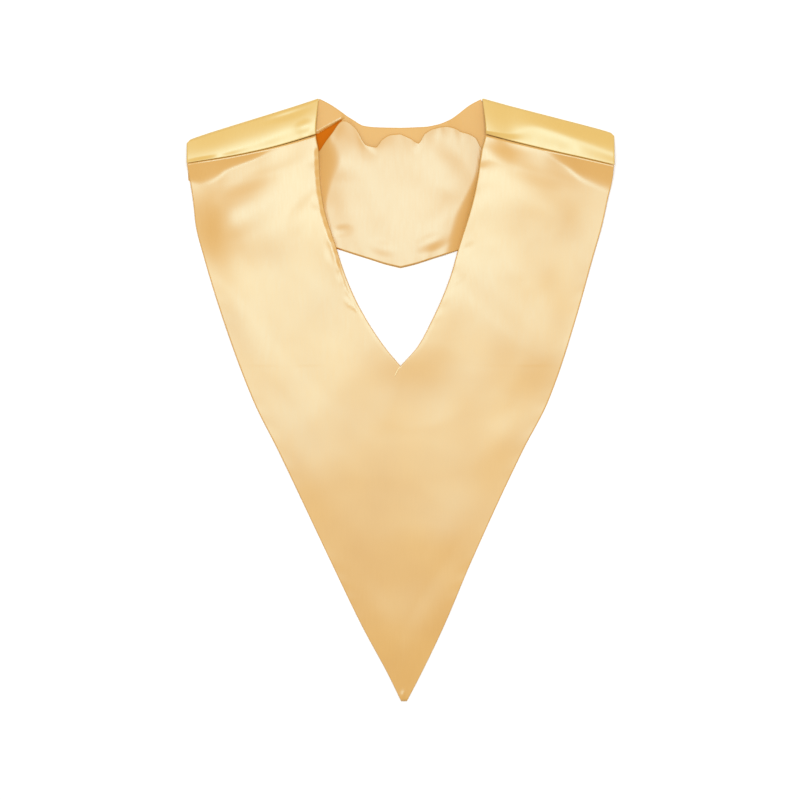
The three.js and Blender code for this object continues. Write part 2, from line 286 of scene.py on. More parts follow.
# The turned cloth inside a shoulder seam lifts it by rise. Below its outer ends the cloth falls steeply
# into a wedge: drop is how far, width how wide the wedge is there.
seamWedges = [
    {"x": -213, "width": 19, "drop": 4.7, "rise": 4.9},
    {"x": -195, "width": 25, "drop": 6.0, "rise": 6.1},
    {"x": -183, "width": 22, "drop": 5.4, "rise": 5.7},
    {"x": -174, "width": 15, "drop": 3.8, "rise": 4.8},
    {"x": -145, "width": 9, "drop": 2.0, "rise": 3.8},
    {"x": -128, "width": 6, "drop": 0.2, "rise": 3.1},
    {"x": -118, "width": 6, "drop": 0.0, "rise": 3.0},
    {"x": 140, "width": 7, "drop": 0.0, "rise": 3.0},
    {"x": 165, "width": 14, "drop": 3.1, "rise": 4.0},
    {"x": 182, "width": 25, "drop": 5.8, "rise": 6.1},
    {"x": 213, "width": 30, "drop": 6.8, "rise": 7.0},
]


# How much the seam lifts the front below it.
def seamLift(x, y):
    below = np.maximum(0, seamY(x) - y)
    width, drop, rise = (readTable(seamWedges, "x", name, x) for name in ("width", "drop", "rise"))
    share = np.clip(below / width, 0, 1)
    steep = 1 - 1.25 * share + 0.25 * share**5  # falls evenly, and levels out at the wedge's lower edge
    gentle = (1 - np.clip(below / stole["seamSlope"], 0, 1)) ** 2
    return drop * steep + (rise - drop) * gentle


# How much thicker the layers are at the neck points.
def neckRaise(x, y):
    away = np.abs(x) - stole["halfNeck"] - stole["raiseClear"]
    below = seamY(x) - y
    fade = (1 - smoothStep(0, stole["raiseReach"], away)) * (1 - smoothStep(0, stole["raiseDown"], below))
    return sided("neckRaise", x) * fade


# Small puckers where a sewn edge draws the cloth in: along is the place on the edge.
def puckers(along, fromEdge, wavelength, depth, reach, seed):
    draw = np.random.default_rng(seed)
    phase = draw.uniform(0, 2 * np.pi, 4)
    drift = 1.3 * np.sin(2 * np.pi * along / (wavelength * 4.3) + phase[0])
    strength = 0.5 + 0.5 * np.sin(2 * np.pi * along / (wavelength * 6.1) + phase[1])
    wave = np.sin(2 * np.pi * along / wavelength + drift + phase[2])
    return depth * strength * wave * np.exp(-((fromEdge / reach) ** 2))


# One closed mesh of a sheet of cloth. middle is a grid of points in the middle of the cloth, normal and
# half say where its two faces are, keep says which grid squares are cloth, and same joins grid points.
def clothMesh(name, middle, normal, half, keep, same=None, faceKinds=None):
    rows, columns = half.shape
    number = np.arange(rows * columns).reshape(rows, columns) if same is None else same
    corner = np.stack([number[:-1, :-1], number[:-1, 1:], number[1:, 1:], number[1:, :-1]], -1)[keep]
    starts = corner.reshape(-1)
    ends = np.roll(corner, -1, axis=1).reshape(-1)
    size = rows * columns
    lonely = ~np.isin(starts * size + ends, ends * size + starts)
    rim = np.stack([starts[lonely], ends[lonely]], -1)
    used, index = np.unique(corner, return_inverse=True)
    place = np.zeros(size, int)
    place[used] = np.arange(len(used))
    points = middle.reshape(-1, 3)[used]
    offset = (normal * half[..., None]).reshape(-1, 3)[used]
    count = len(used)
    upper = index.reshape(-1, 4)
    lower = upper[:, ::-1] + count
    a, b = place[rim[:, 0]], place[rim[:, 1]]
    side = np.stack([a, a + count, b + count, b], -1)
    faces = np.concatenate([upper, lower, side])
    vertices = np.concatenate([points + offset, points - offset]) * mm

    mesh = bpy.data.meshes.new(name)
    mesh.vertices.add(len(vertices))
    mesh.vertices.foreach_set("co", vertices.astype(np.float32).ravel())
    mesh.loops.add(faces.size)
    mesh.loops.foreach_set("vertex_index", faces.astype(np.int32).ravel())
    mesh.polygons.add(len(faces))
    mesh.polygons.foreach_set("loop_start", np.arange(0, faces.size, 4, dtype=np.int32))
    mesh.polygons.foreach_set("use_smooth", np.ones(len(faces), bool))
    if faceKinds is not None:
        kinds = np.concatenate([faceKinds[keep], np.zeros(len(lower) + len(side), int)])
        mesh.polygons.foreach_set("material_index", kinds.astype(np.int32))
    mesh.update(calc_edges=True)
    mesh.validate()
    weave = mesh.uv_layers.new(name="weave")
    weave.data.foreach_set("uv", vertices[faces.ravel(), :2].astype(np.float32).ravel())
    piece = bpy.data.objects.new(name, mesh)
    bpy.context.scene.collection.objects.link(piece)
    flatArea = float(np.sum(np.linalg.norm(np.cross(
        points[upper[:, 2]] - points[upper[:, 0]], points[upper[:, 3]] - points[upper[:, 1]]
    ), axis=1)) / 2) * mm * mm
    print(f"{name}: {len(faces) * 2} triangles, {flatArea:.4f} square metres of cloth")
    return piece, flatArea


# Materials

def fromHex(colour):
    channels = [int(colour[i : i + 2], 16) / 255 for i in (1, 3, 5)]
    linear = [c / 12.92 if c <= 0.04045 else ((c + 0.055) / 1.055) ** 2.4 for c in channels]
    return (*linear, 1.0)


def addNode(tree, kind, settings=None, values=None, links=None):
    node = tree.nodes.new(kind)
    for setting, value in (settings or {}).items():
        setattr(node, setting, value)
    for socket, value in (values or {}).items():
        node.inputs[socket].default_value = value
    for socket, source in (links or {}).items():
        tree.links.new(source, node.inputs[socket])
    return node


# How dye and threads differ within any of the satins.
satinThreads = {
    "cloud": 70,  # dye and pressing differ over some 70 mm
    "slubLength": 20,  # thicker threads, 20 times as long as wide
    "thinnest": 0.3, "thickest": 0.7,  # the noise hardly goes beyond these
    "shade": 0.982, "roughness": 0.015, "bump": 0.1,
}


# Polyester satin: the warp floats over several threads, so the face is smooth and glossy, with a
# long soft highlight across the threads. The eye gets a pale, almost white gloss over a deep gold.
def satinWeave(name, look):
    material = bpy.data.materials.new(name)
    material.use_nodes = True
    tree = material.node_tree
    tree.nodes.clear()
    thinnest, thickest = satinThreads["thinnest"], satinThreads["thickest"]
    place = addNode(tree, "ShaderNodeTexCoord").outputs["Object"]
    cloudy = addNode(
        tree, "ShaderNodeTexNoise",
        values={"Scale": 1 / (satinThreads["cloud"] * mm), "Detail": 2, "Roughness": 0.5},
        links={"Vector": place},
    ).outputs["Fac"]
    drawn = addNode(
        tree, "ShaderNodeMapping",
        values={"Scale": (1, 1 / satinThreads["slubLength"], 1)}, links={"Vector": place},
    ).outputs["Vector"]
    slubs = addNode(
        tree, "ShaderNodeTexNoise",
        values={"Scale": 1 / (look["thread"] * mm), "Detail": 2, "Roughness": 0.5},
        links={"Vector": drawn},
    ).outputs["Fac"]
    colour = addNode(
        tree, "ShaderNodeMix", {"data_type": "RGBA"},
        {6: fromHex(look["deep"]), 7: fromHex(look["pale"])}, {0: cloudy},
    ).outputs[2]
    threads = addNode(
        tree, "ShaderNodeMapRange",
        values={
            "From Min": thinnest, "From Max": thickest, "To Min": satinThreads["shade"], "To Max": 1.0,
        },
        links={"Value": slubs},
    ).outputs["Result"]
    woven = addNode(
        tree, "ShaderNodeMix", {"data_type": "RGBA", "blend_type": "MULTIPLY"},
        {0: 1.0}, {6: colour, 7: threads},
    ).outputs[2]
    roughness = addNode(
        tree, "ShaderNodeMapRange",
        values={
            "From Min": thinnest, "From Max": thickest,
            "To Min": look["roughness"] - satinThreads["roughness"],
            "To Max": look["roughness"] + satinThreads["roughness"],
        },
        links={"Value": slubs},
    ).outputs["Result"]
    bump = addNode(
        tree, "ShaderNodeBump",
        values={"Strength": satinThreads["bump"], "Distance": look["threadHeight"] * mm},
        links={"Height": slubs},
    ).outputs["Normal"]
    shader = addNode(
        tree, "ShaderNodeBsdfPrincipled",
        values={
            "IOR": look["ior"], "Sheen Weight": look["sheen"], "Sheen Roughness": 0.4,
            "Sheen Tint": fromHex(look["pale"]), "Anisotropic": look["anisotropy"],
            "Specular Tint": fromHex(look["gloss"]), "Specular IOR Level": look["specular"],
        },
        links={
            "Base Color": woven, "Roughness": roughness, "Normal": bump,
            "Tangent": addNode(
                tree, "ShaderNodeTangent", {"direction_type": "UV_MAP", "uv_map": "weave"}
            ).outputs["Tangent"],
        },
    )
    addNode(tree, "ShaderNodeOutputMaterial", links={"Surface": shader.outputs["BSDF"]})
    return material


# Thread spacing is some 0.2 mm in the real weave. It is drawn at 0.9 mm, as fine as the picture shows.
# The gloss is a little blue-green, as it is where a picture's red is already full.
frontLook = {
    "pale": "#DEAE62", "deep": "#D19C50", "gloss": "#B6F9FF", "thread": 0.9, "threadHeight": 0.05,
    "roughness": 0.31, "ior": 1.6, "specular": 0.5, "sheen": 0.05, "anisotropy": 0.3,
}
bandLook = {**frontLook, "pale": "#E0BA6B", "deep": "#DBB15D", "roughness": 0.34}
liningLook = {**frontLook, "pale": "#D8A358", "deep": "#D19B4B"}
# The pocket's satin: the matte reverse, without gloss; its deep orange is painted shade of the pocket,
# darker than the dye itself.
reversePocketShadeLook = {
    **frontLook, "pale": "#CB6C08", "deep": "#BF6202", "roughness": 0.75, "ior": 1.4, "specular": 0.1,
    "anisotropy": 0.0, "sheen": 0.0,
}
facingLook = {**frontLook, "pale": "#DDA95A", "deep": "#D7A150", "roughness": 0.6}

frontSatin = satinWeave("frontSatinFace", frontLook)
bandSatin = satinWeave("backSatinFace", bandLook)
liningSatin = satinWeave("liningSatinFace", liningLook)
reversePocketShadeSatin = satinWeave("satinReversePaintedShade", reversePocketShadeLook)
facingSatin = satinWeave("facingSatin", facingLook)
print("materials made")


# Front panel

front = {
    "armColumns": 60, "armRows": 105, "bodyRows": 150,
    "sideCrowding": 0.8, "seamCrowding": 0.45, "bodySpread": 0.97,
    "armLean": 0.92, "bodyLean": 0.9,  # a leaning edge is nearer than it is along X
    "tipWidth": 2.6, "tipEdge": 0.1, "hemClear": 2,
    "innerRamp": 160,  # how far below the back's hem the front is down on the table
    "rampReach": 80,  # this far from the outer edges, where shoulders has the shorter outerRamp
    "neckRoll": 0.1, "leftRoll": 1.6, "rollWidth": 5.5,  # the neck edges roll down, the left one more
    "rollFrom": 75, "rollFull": 130, "vFade": 30,  # from these heights, and not at the V
    "rollBreaks": 0.5, "breakLength": 11, "breakDrift": 2, "driftLength": 17,  # and unevenly
    "waveRise": 0.1, "waves": {"wavelength": 70, "waves": 9, "seed": 11},
    "base": 1.5,  # the cloth doesn't lie quite flat anywhere
    "outerShare": 0.5, "outerReach": 40, "seamReach": 26,  # flatter at its outer edges and its seams
    "neckPuckers": {"wavelength": 19, "depth": 0.16, "reach": 7, "seed": 3},
    "outerPuckers": {"wavelength": 23, "depth": 0.05, "reach": 7, "seed": 4},
    "seamPuckers": {"wavelength": 13, "depth": 0.1, "reach": 5, "seed": 7},
}
layerLift = stole["cloth"] + stole["gap"] + stole["lining"] + stole["gap"]

# Soft folds in millimetres: where, how long and wide, which way they run, how high.
frontFolds = [
    {"x": 107, "y": 256, "run": 108, "reach": 31, "turn": 7, "rise": 0.9},
    {"x": 105, "y": 231, "run": 108, "reach": 60, "turn": 59, "rise": 2.0},
    {"x": 181, "y": 229, "run": 96, "reach": 27, "turn": -5, "rise": -1.2},
    {"x": 95, "y": 201, "run": 99, "reach": 43, "turn": 3, "rise": 1.4},
    {"x": 136, "y": 202, "run": 66, "reach": 26, "turn": -40, "rise": 0.6},
    {"x": 197, "y": 180, "run": 110, "reach": 32, "turn": 55, "rise": -0.7},
    {"x": 173, "y": 167, "run": 57, "reach": 41, "turn": 69, "rise": -0.6},
    {"x": 142, "y": 156, "run": 110, "reach": 35, "turn": -52, "rise": -0.5},
    {"x": 104, "y": 152, "run": 110, "reach": 42, "turn": 48, "rise": 0.8},
    {"x": 116, "y": 149, "run": 62, "reach": 27, "turn": 5, "rise": -0.4},
    {"x": 94, "y": 114, "run": 108, "reach": 31, "turn": -46, "rise": -1.1},
    {"x": 173, "y": 102, "run": 82, "reach": 26, "turn": -51, "rise": -0.4},
    {"x": 64, "y": 92, "run": 90, "reach": 60, "turn": -10, "rise": 1.2},
    {"x": 163, "y": 56, "run": 91, "reach": 61, "turn": 12, "rise": 1.8},
    {"x": 90, "y": 48, "run": 109, "reach": 46, "turn": 72, "rise": 1.0},
    {"x": -182, "y": 221, "run": 89, "reach": 24, "turn": 12, "rise": -0.5},
    {"x": -136, "y": 203, "run": 74, "reach": 29, "turn": 34, "rise": 1.45},
    {"x": -98, "y": 186, "run": 32, "reach": 15, "turn": 58, "rise": 0.5},
    {"x": -146, "y": 176, "run": 66, "reach": 50, "turn": 6, "rise": 1.0},
    {"x": -180, "y": 181, "run": 50, "reach": 38, "turn": 88, "rise": 1.7},
    {"x": -209, "y": 178, "run": 70, "reach": 66, "turn": -32, "rise": -0.6},
    {"x": -214, "y": 178, "run": 72, "reach": 36, "turn": -86, "rise": -1.6},
    {"x": -60, "y": 160, "run": 87, "reach": 48, "turn": -37, "rise": 1.0},
    {"x": -137, "y": 142, "run": 58, "reach": 52, "turn": -83, "rise": -0.5},
    {"x": -78, "y": 118, "run": 86, "reach": 60, "turn": -49, "rise": -1.2},
    {"x": -112, "y": 102, "run": 82, "reach": 33, "turn": -68, "rise": -0.6},
    {"x": -126, "y": 93, "run": 35, "reach": 24, "turn": -65, "rise": -0.3},
    {"x": -176, "y": 90, "run": 110, "reach": 43, "turn": -73, "rise": 2.2},
    {"x": -84, "y": 45, "run": 110, "reach": 44, "turn": 57, "rise": -0.9},
    {"x": -149, "y": 34, "run": 110, "reach": 47, "turn": -1, "rise": 0.4},
    {"x": -5, "y": 40, "run": 82, "reach": 63, "turn": 84, "rise": 1.4},
    {"x": 20, "y": 14, "run": 58, "reach": 44, "turn": 11, "rise": -0.9},
    {"x": -27, "y": 13, "run": 62, "reach": 26, "turn": 74, "rise": -0.4},
    {"x": 152, "y": -15, "run": 69, "reach": 61, "turn": 56, "rise": -1.1},
    {"x": 11, "y": -35, "run": 106, "reach": 46, "turn": 5, "rise": -0.3},
    {"x": 112, "y": -37, "run": 32, "reach": 26, "turn": 83, "rise": 0.4},
    {"x": 48, "y": -43, "run": 73, "reach": 48, "turn": -73, "rise": -0.8},
    {"x": -124, "y": -53, "run": 100, "reach": 42, "turn": -60, "rise": 1.5},
    {"x": -19, "y": -80, "run": 110, "reach": 59, "turn": -24, "rise": -0.5},
    {"x": 71, "y": -91, "run": 110, "reach": 68, "turn": -12, "rise": -0.7},
    {"x": -58, "y": -99, "run": 53, "reach": 33, "turn": -64, "rise": -0.3},
    {"x": -4, "y": -107, "run": 103, "reach": 70, "turn": 5, "rise": -0.6},
    {"x": -55, "y": -133, "run": 110, "reach": 60, "turn": 6, "rise": -0.5},
    {"x": 17, "y": -177, "run": 60, "reach": 55, "turn": 4, "rise": -0.7},
    {"x": -38, "y": -177, "run": 110, "reach": 82, "turn": 7, "rise": -1.0},
    {"x": 40, "y": -218, "run": 110, "reach": 30, "turn": 61, "rise": 1.1},
    {"x": -16, "y": -245, "run": 87, "reach": 24, "turn": -72, "rise": 0.5},
]

# Small dents and creases along the neck edges, and the turned point of the tip.
smallDents = [
    {"x": 1.2, "y": -296, "run": 8, "reach": 4, "turn": 68, "rise": 1.6},
    {"x": -85, "y": 196, "run": 9, "reach": 6, "turn": 90, "rise": -0.4},
    {"x": -71, "y": 148, "run": 15, "reach": 6, "turn": 106, "rise": -0.45},
    {"x": -61, "y": 125, "run": 8, "reach": 5, "turn": 110, "rise": -0.35},
    {"x": -52, "y": 102, "run": 8, "reach": 5, "turn": 120, "rise": -0.3},
    {"x": -46, "y": 92, "run": 9, "reach": 2.6, "turn": -45, "rise": 0.3},
    {"x": -52, "y": 96, "run": 8, "reach": 2.6, "turn": -48, "rise": 0.25},
    {"x": 58, "y": 120, "run": 10, "reach": 4, "turn": 35, "rise": 0.25},
    {"x": 68, "y": 152, "run": 10, "reach": 4, "turn": 25, "rise": -0.25},
]


def frontLift(x, y, fromOuter):
    fullY = hemY(x) - front["hemClear"]
    ramp = mix(sided("outerRamp", x), front["innerRamp"], smoothStep(0, front["rampReach"], fromOuter))
    return layerLift * smoothStep(fullY - ramp, fullY, y)


# Height of the middle of the front's cloth above the table.
def frontHeight(x, y, fromOuter):
    vY = stole["neckY"] - stole["neckDepth"]
    fromSeam = seamY(x) - y
    aboveV = smoothStep(vY, vY + front["vFade"], y)
    edgeY = np.maximum(y, vY)
    fromNeck = np.abs(x - np.where(x < 0, neckX("left", edgeY), neckX("right", edgeY)))
    drift = front["breakDrift"] * np.sin(y / front["driftLength"])
    breaks = 0.5 + 0.5 * np.sin(2 * np.pi * y / front["breakLength"] + drift)
    leftRoll = front["leftRoll"] * smoothStep(front["rollFrom"], front["rollFull"], y)
    leftRoll = leftRoll * (1 - front["rollBreaks"] * breaks)
    rollHere = np.maximum(np.where(x < 0, leftRoll, 0), front["neckRoll"])
    roll = rollHere * hill(fromNeck, 0, front["rollWidth"])
    waves = front["waveRise"] * unevenness(x, y, **front["waves"])
    folds = front["base"] + foldHeight(frontFolds, x, y) + foldHeight(smallDents, x, y) + waves
    folds = folds * mix(front["outerShare"], 1, smoothStep(0, front["outerReach"], fromOuter))
    neckPucker = puckers(y, fromNeck, **front["neckPuckers"]) * aboveV
    pucker = neckPucker + puckers(y, fromOuter, **front["outerPuckers"])
    lying = folds - roll * aboveV + pucker
    seamPucker = puckers(x, fromSeam, **front["seamPuckers"])
    loose = np.maximum(0, smoothStep(0, front["seamReach"], fromSeam) * lying + seamPucker)
    return frontLift(x, y, fromOuter) + seamLift(x, y) + neckRaise(x, y) + loose + stole["cloth"] / 2


def frontPanel():
    half, bodyRows = front["armColumns"], front["bodyRows"]
    tipY = stole["neckY"] - stole["length"]
    vY = stole["neckY"] - stole["neckDepth"]
    outwards = edgeShares(half, front["sideCrowding"])
    bodyUp = np.linspace(0, 1, bodyRows + 1) ** front["bodySpread"]
    armUp = edgeShares(front["armRows"], front["seamCrowding"])[1:]
    halves = []
    for side in ("left", "right"):
        sign = shoulders[side]["sign"]
        outward = outwards[::-1] if side == "left" else outwards
        y = mix(tipY, vY, bodyUp)[:, None]
        centre = (outerX("left", y) + outerX("right", y)) / 2
        halfWidth = np.maximum(np.abs(outerX(side, y) - centre), front["tipWidth"] / 2)
        bodyX = centre + sign * outward * halfWidth
        body = np.stack([bodyX, y + 0 * bodyX], -1)
        bodyOuter = (1 - outward) * halfWidth * front["bodyLean"]
        bodyEdge = np.minimum(bodyOuter, y - tipY + front["tipEdge"])

        outerTop = float(seamY(np.array(sign * stole["halfSpan"]))) - stole["seamGap"]
        neckTop = float(seamY(np.array(sign * stole["halfNeck"]))) - stole["seamGap"]
        outerY = mix(vY, outerTop, armUp)[:, None]
        neckEdgeY = mix(vY, neckTop, armUp)[:, None]
        inner = neckX(side, neckEdgeY)
        outer = outerX(side, outerY)
        armX = mix(inner, outer, outward)
        bend = seamY(armX) - stole["seamGap"] - mix(neckTop, outerTop, outward)
        armY = mix(neckEdgeY, outerY, outward) + bend * armUp[:, None] ** 2
        width = np.abs(outer - inner)
        armOuter = (1 - outward) * width * front["armLean"]
        armInner = outward * width * front["armLean"]
        fromSeam = stole["seamTurn"] * (seamY(armX) - stole["seamGap"] - armY)
        armEdge = np.minimum(np.minimum(armOuter, armInner), fromSeam)
        halves.append((
            np.concatenate([body, np.stack([armX, armY], -1)]),
            np.concatenate([bodyEdge, armEdge]),
            np.concatenate([bodyOuter, armOuter]),
        ))
    plan, edge, fromOuter = (np.concatenate(pair, 1) for pair in zip(*halves))
    x, y = plan[..., 0], plan[..., 1]
    rows, columns = x.shape
    number = np.arange(rows * columns).reshape(rows, columns)
    number[: bodyRows + 1, half + 1] = number[: bodyRows + 1, half]  # the halves are one below the V
    keep = np.ones((rows - 1, columns - 1), bool)
    keep[:, half] = False
    middle = np.stack([x, y, frontHeight(x, y, fromOuter)], -1)
    thick = turnedHalf(stole["cloth"], edge)
    piece, area = clothMesh("frontPanel", middle, flatNormal(middle), thick, keep, number)
    piece.data.materials.append(frontSatin)
    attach(piece, "root")
    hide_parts("front_panel")
    return piece, area


frontPiece, frontArea = frontPanel()


# A loose end of sewing thread at the point of the neck opening.
threadEnd = {
    "fromX": -0.5, "fromY": 32.5, "toX": -6, "toY": 24.5,
    "bend": 0.9, "radius": 0.42, "steps": 14, "sides": 8,
    "taper": 3, "blunt": 0.03,  # only its ends are thinner
    "acrossX": 0.82, "acrossY": -0.57,  # square to the way it runs
    "clothNear": 12, "clear": 0.05,  # it lies on the highest cloth this near
    "colour": "#F8E6B0", "roughness": 0.8, "ior": 1.5,
}


def looseThread():
    share = np.linspace(0, 1, threadEnd["steps"] + 1)
    x = mix(threadEnd["fromX"], threadEnd["toX"], share)
    y = mix(threadEnd["fromY"], threadEnd["toY"], share) + threadEnd["bend"] * np.sin(share * np.pi * 1.5)
    cloth = np.empty(len(frontPiece.data.vertices) * 3, np.float32)
    frontPiece.data.vertices.foreach_get("co", cloth)
    cloth = cloth.reshape(-1, 3) / mm
    reach = threadEnd["clothNear"]
    near = cloth[(np.abs(cloth[:, 0]) < reach) & (np.abs(cloth[:, 1] - threadEnd["toY"]) < reach)]
    z = near[:, 2].max() + threadEnd["radius"] + threadEnd["clear"]
    sides = threadEnd["sides"]
    around = np.linspace(0, 2 * np.pi, sides + 1)[:-1]
    along = np.clip(share, threadEnd["blunt"], 1 - threadEnd["blunt"])
    radius = threadEnd["radius"] * np.minimum(1, threadEnd["taper"] * np.sin(along * np.pi))
    points = []
    for i in range(len(share)):
        for turn in around:
            beside = radius[i] * math.cos(turn)
            points.append((
                x[i] + beside * threadEnd["acrossX"],
                y[i] + beside * threadEnd["acrossY"],
                z + radius[i] * math.sin(turn),
            ))
    faces = [
        (i * sides + j, i * sides + (j + 1) % sides, (i + 1) * sides + (j + 1) % sides, (i + 1) * sides + j)
        for i in range(len(share) - 1) for j in range(sides)
    ]
    faces += [tuple(range(sides))[::-1], tuple(len(points) - sides + j for j in range(sides))]
    mesh = bpy.data.meshes.new("looseThread")
    mesh.from_pydata([tuple(value * mm for value in point) for point in points], [], faces)
    # Spun polyester thread: matte and pale, so the eye finds it on the gloss.
    spun = bpy.data.materials.new("spunPolyesterThread")
    spun.use_nodes = True
    shader = spun.node_tree.nodes["Principled BSDF"]
    shader.inputs["Base Color"].default_value = fromHex(threadEnd["colour"])
    shader.inputs["Roughness"].default_value = threadEnd["roughness"]
    shader.inputs["IOR"].default_value = threadEnd["ior"]
    mesh.materials.append(spun)
    thread = bpy.data.objects.new("looseThread", mesh)
    bpy.context.scene.collection.objects.link(thread)
    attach(thread, "root")


looseThread()


# Back panel, with the shoulder bands

back = {
    "pocketColumns": 64, "neckColumns": 100, "shoulderColumns": 56,
    "lyingRows": 100, "foldSteps": 14, "bandRows": 34,
    "shoulderCrowding": 0.7, "lyingCrowding": 0.6, "bandCrowding": 0.5,
    "cornerInset": 3, "cornerPower": 12,  # the folds' outer corners are rounded
    "neckLift": 2.6, "neckLiftReach": 32,
    "pocketEnd": -54,
    "stripRise": 1.7,  # the neck edge between the shoulders doesn't lie flat
    "stripEnd": 62, "stripFull": 42, "stripFlat": 4, "stripReach": 40,
    "swellFade": 0.15,
    "puckerEnd": 60, "puckerFull": 45,
    "neckPuckers": {"wavelength": 16, "depth": 0.5, "reach": 14, "seed": 8},
    "seamPuckers": {"wavelength": 13, "depth": 0.15, "reach": 5, "seed": 9},
}
pocketLip = {"fromX": -83.6, "fromY": 266.1, "toX": -59.1, "toY": 279.9, "roll": 2.2, "endX": -58.5}

# At the left neck point the facing stands up over the pocket, most of all next to the lip.
standingFacing = {
    "rise": 2.2, "edge": 0.7, "fall": 0.45, "fallFrom": 2, "fallTo": 16,
    "outerX": -92, "neckX": -84, "innerX": -60,
}

# The back's satins: on the band and the underside, on the side that faces up, in the pocket (the matte
# reverse, deepened with painted shade), on its lip.
backSatins = {"band": bandSatin, "facing": facingSatin, "pocket": reversePocketShadeSatin, "lip": liningSatin}
kindOf = {part: number for number, part in enumerate(backSatins)}

# The two bands. fold: how much thicker the fold is there. place: of the crown, as a share of the way from
# the fold to the seam. rise: of the crown above the fold.
bandCrowns = [
    {"x": -213, "fold": 1.4, "place": 0.8, "rise": 1.3},
    {"x": -180, "fold": 1.4, "place": 0.8, "rise": 2.3},
    {"x": -140, "fold": 0.2, "place": 0.7, "rise": 2.2},
    {"x": -104, "fold": 0.0, "place": 0.6, "rise": 1.9},
    {"x": -82, "fold": 0.0, "place": 0.6, "rise": 1.3},
    {"x": 82, "fold": 0.0, "place": 0.9, "rise": 3.0},
    {"x": 106, "fold": 0.0, "place": 0.8, "rise": 2.8},
    {"x": 137, "fold": 0.2, "place": 0.42, "rise": 2.2},
    {"x": 170, "fold": 0.4, "place": 0.5, "rise": 3.2},
    {"x": 213, "fold": 0.6, "place": 0.68, "rise": 3.9},
]

bandFolds = [
    {"x": -96, "y": 272, "run": 13, "reach": 8, "turn": 25, "rise": 0.6},
    {"x": -112, "y": 286, "run": 30, "reach": 8, "turn": 18, "rise": -0.4},
]


def neckLift(x, y):
    away = np.hypot(np.abs(x) - stole["halfNeck"], y - stole["neckY"])
    return back["neckLift"] * hill(away, 0, back["neckLiftReach"])


# Distance above the lip of the pocket, towards the neck point.
def aboveLip(x, y):
    runX = pocketLip["toX"] - pocketLip["fromX"]
    runY = pocketLip["toY"] - pocketLip["fromY"]
    return ((y - pocketLip["fromY"]) * runX - (x - pocketLip["fromX"]) * runY) / math.hypot(runX, runY)


def backLift(x, y):
    form = standingFacing
    over = aboveLip(x, y)
    corner = smoothStep(back["pocketEnd"], form["innerX"], x) * smoothStep(form["outerX"], form["neckX"], x)
    stands = smoothStep(-form["edge"], form["edge"], over)
    stands = stands * (1 - form["fall"] * smoothStep(form["fallFrom"], form["fallTo"], over))
    return neckLift(x, y) + form["rise"] * stands * corner + stripLift(x, y)


def stripLift(x, y):
    inside = smoothStep(back["stripEnd"], back["stripFull"], np.abs(x))
    near = 1 - smoothStep(back["stripFlat"], back["stripReach"], backNeckY(x) - y)
    return back["stripRise"] * inside * near


def foldTop(x):
    return stole["foldHeight"] + readTable(bandCrowns, "x", "fold", x)


# The bands rise from the fold to a crown, and come down to the raised seam.
def bandLift(x, y, down):
    place = readTable(bandCrowns, "x", "place", x)
    fold = foldTop(x)
    crown = fold + readTable(bandCrowns, "x", "rise", x)
    seam = layerLift + stole["cloth"] + seamLift(x, seamY(x))
    up = np.clip(down / place, 0, 1)
    above = mix(fold, crown, 1.5 * up - 0.5 * up**3)  # rises evenly, and levels out at the crown
    level = mix(above, seam, smoothStep(0, 1, (down - place) / (1 - place)))
    fade = back["swellFade"]
    swell = foldHeight(bandFolds, x, y) * smoothStep(0, fade, down) * smoothStep(1, 1 - fade, down)
    return level - stole["cloth"] / 2 + swell + neckRaise(x, y)


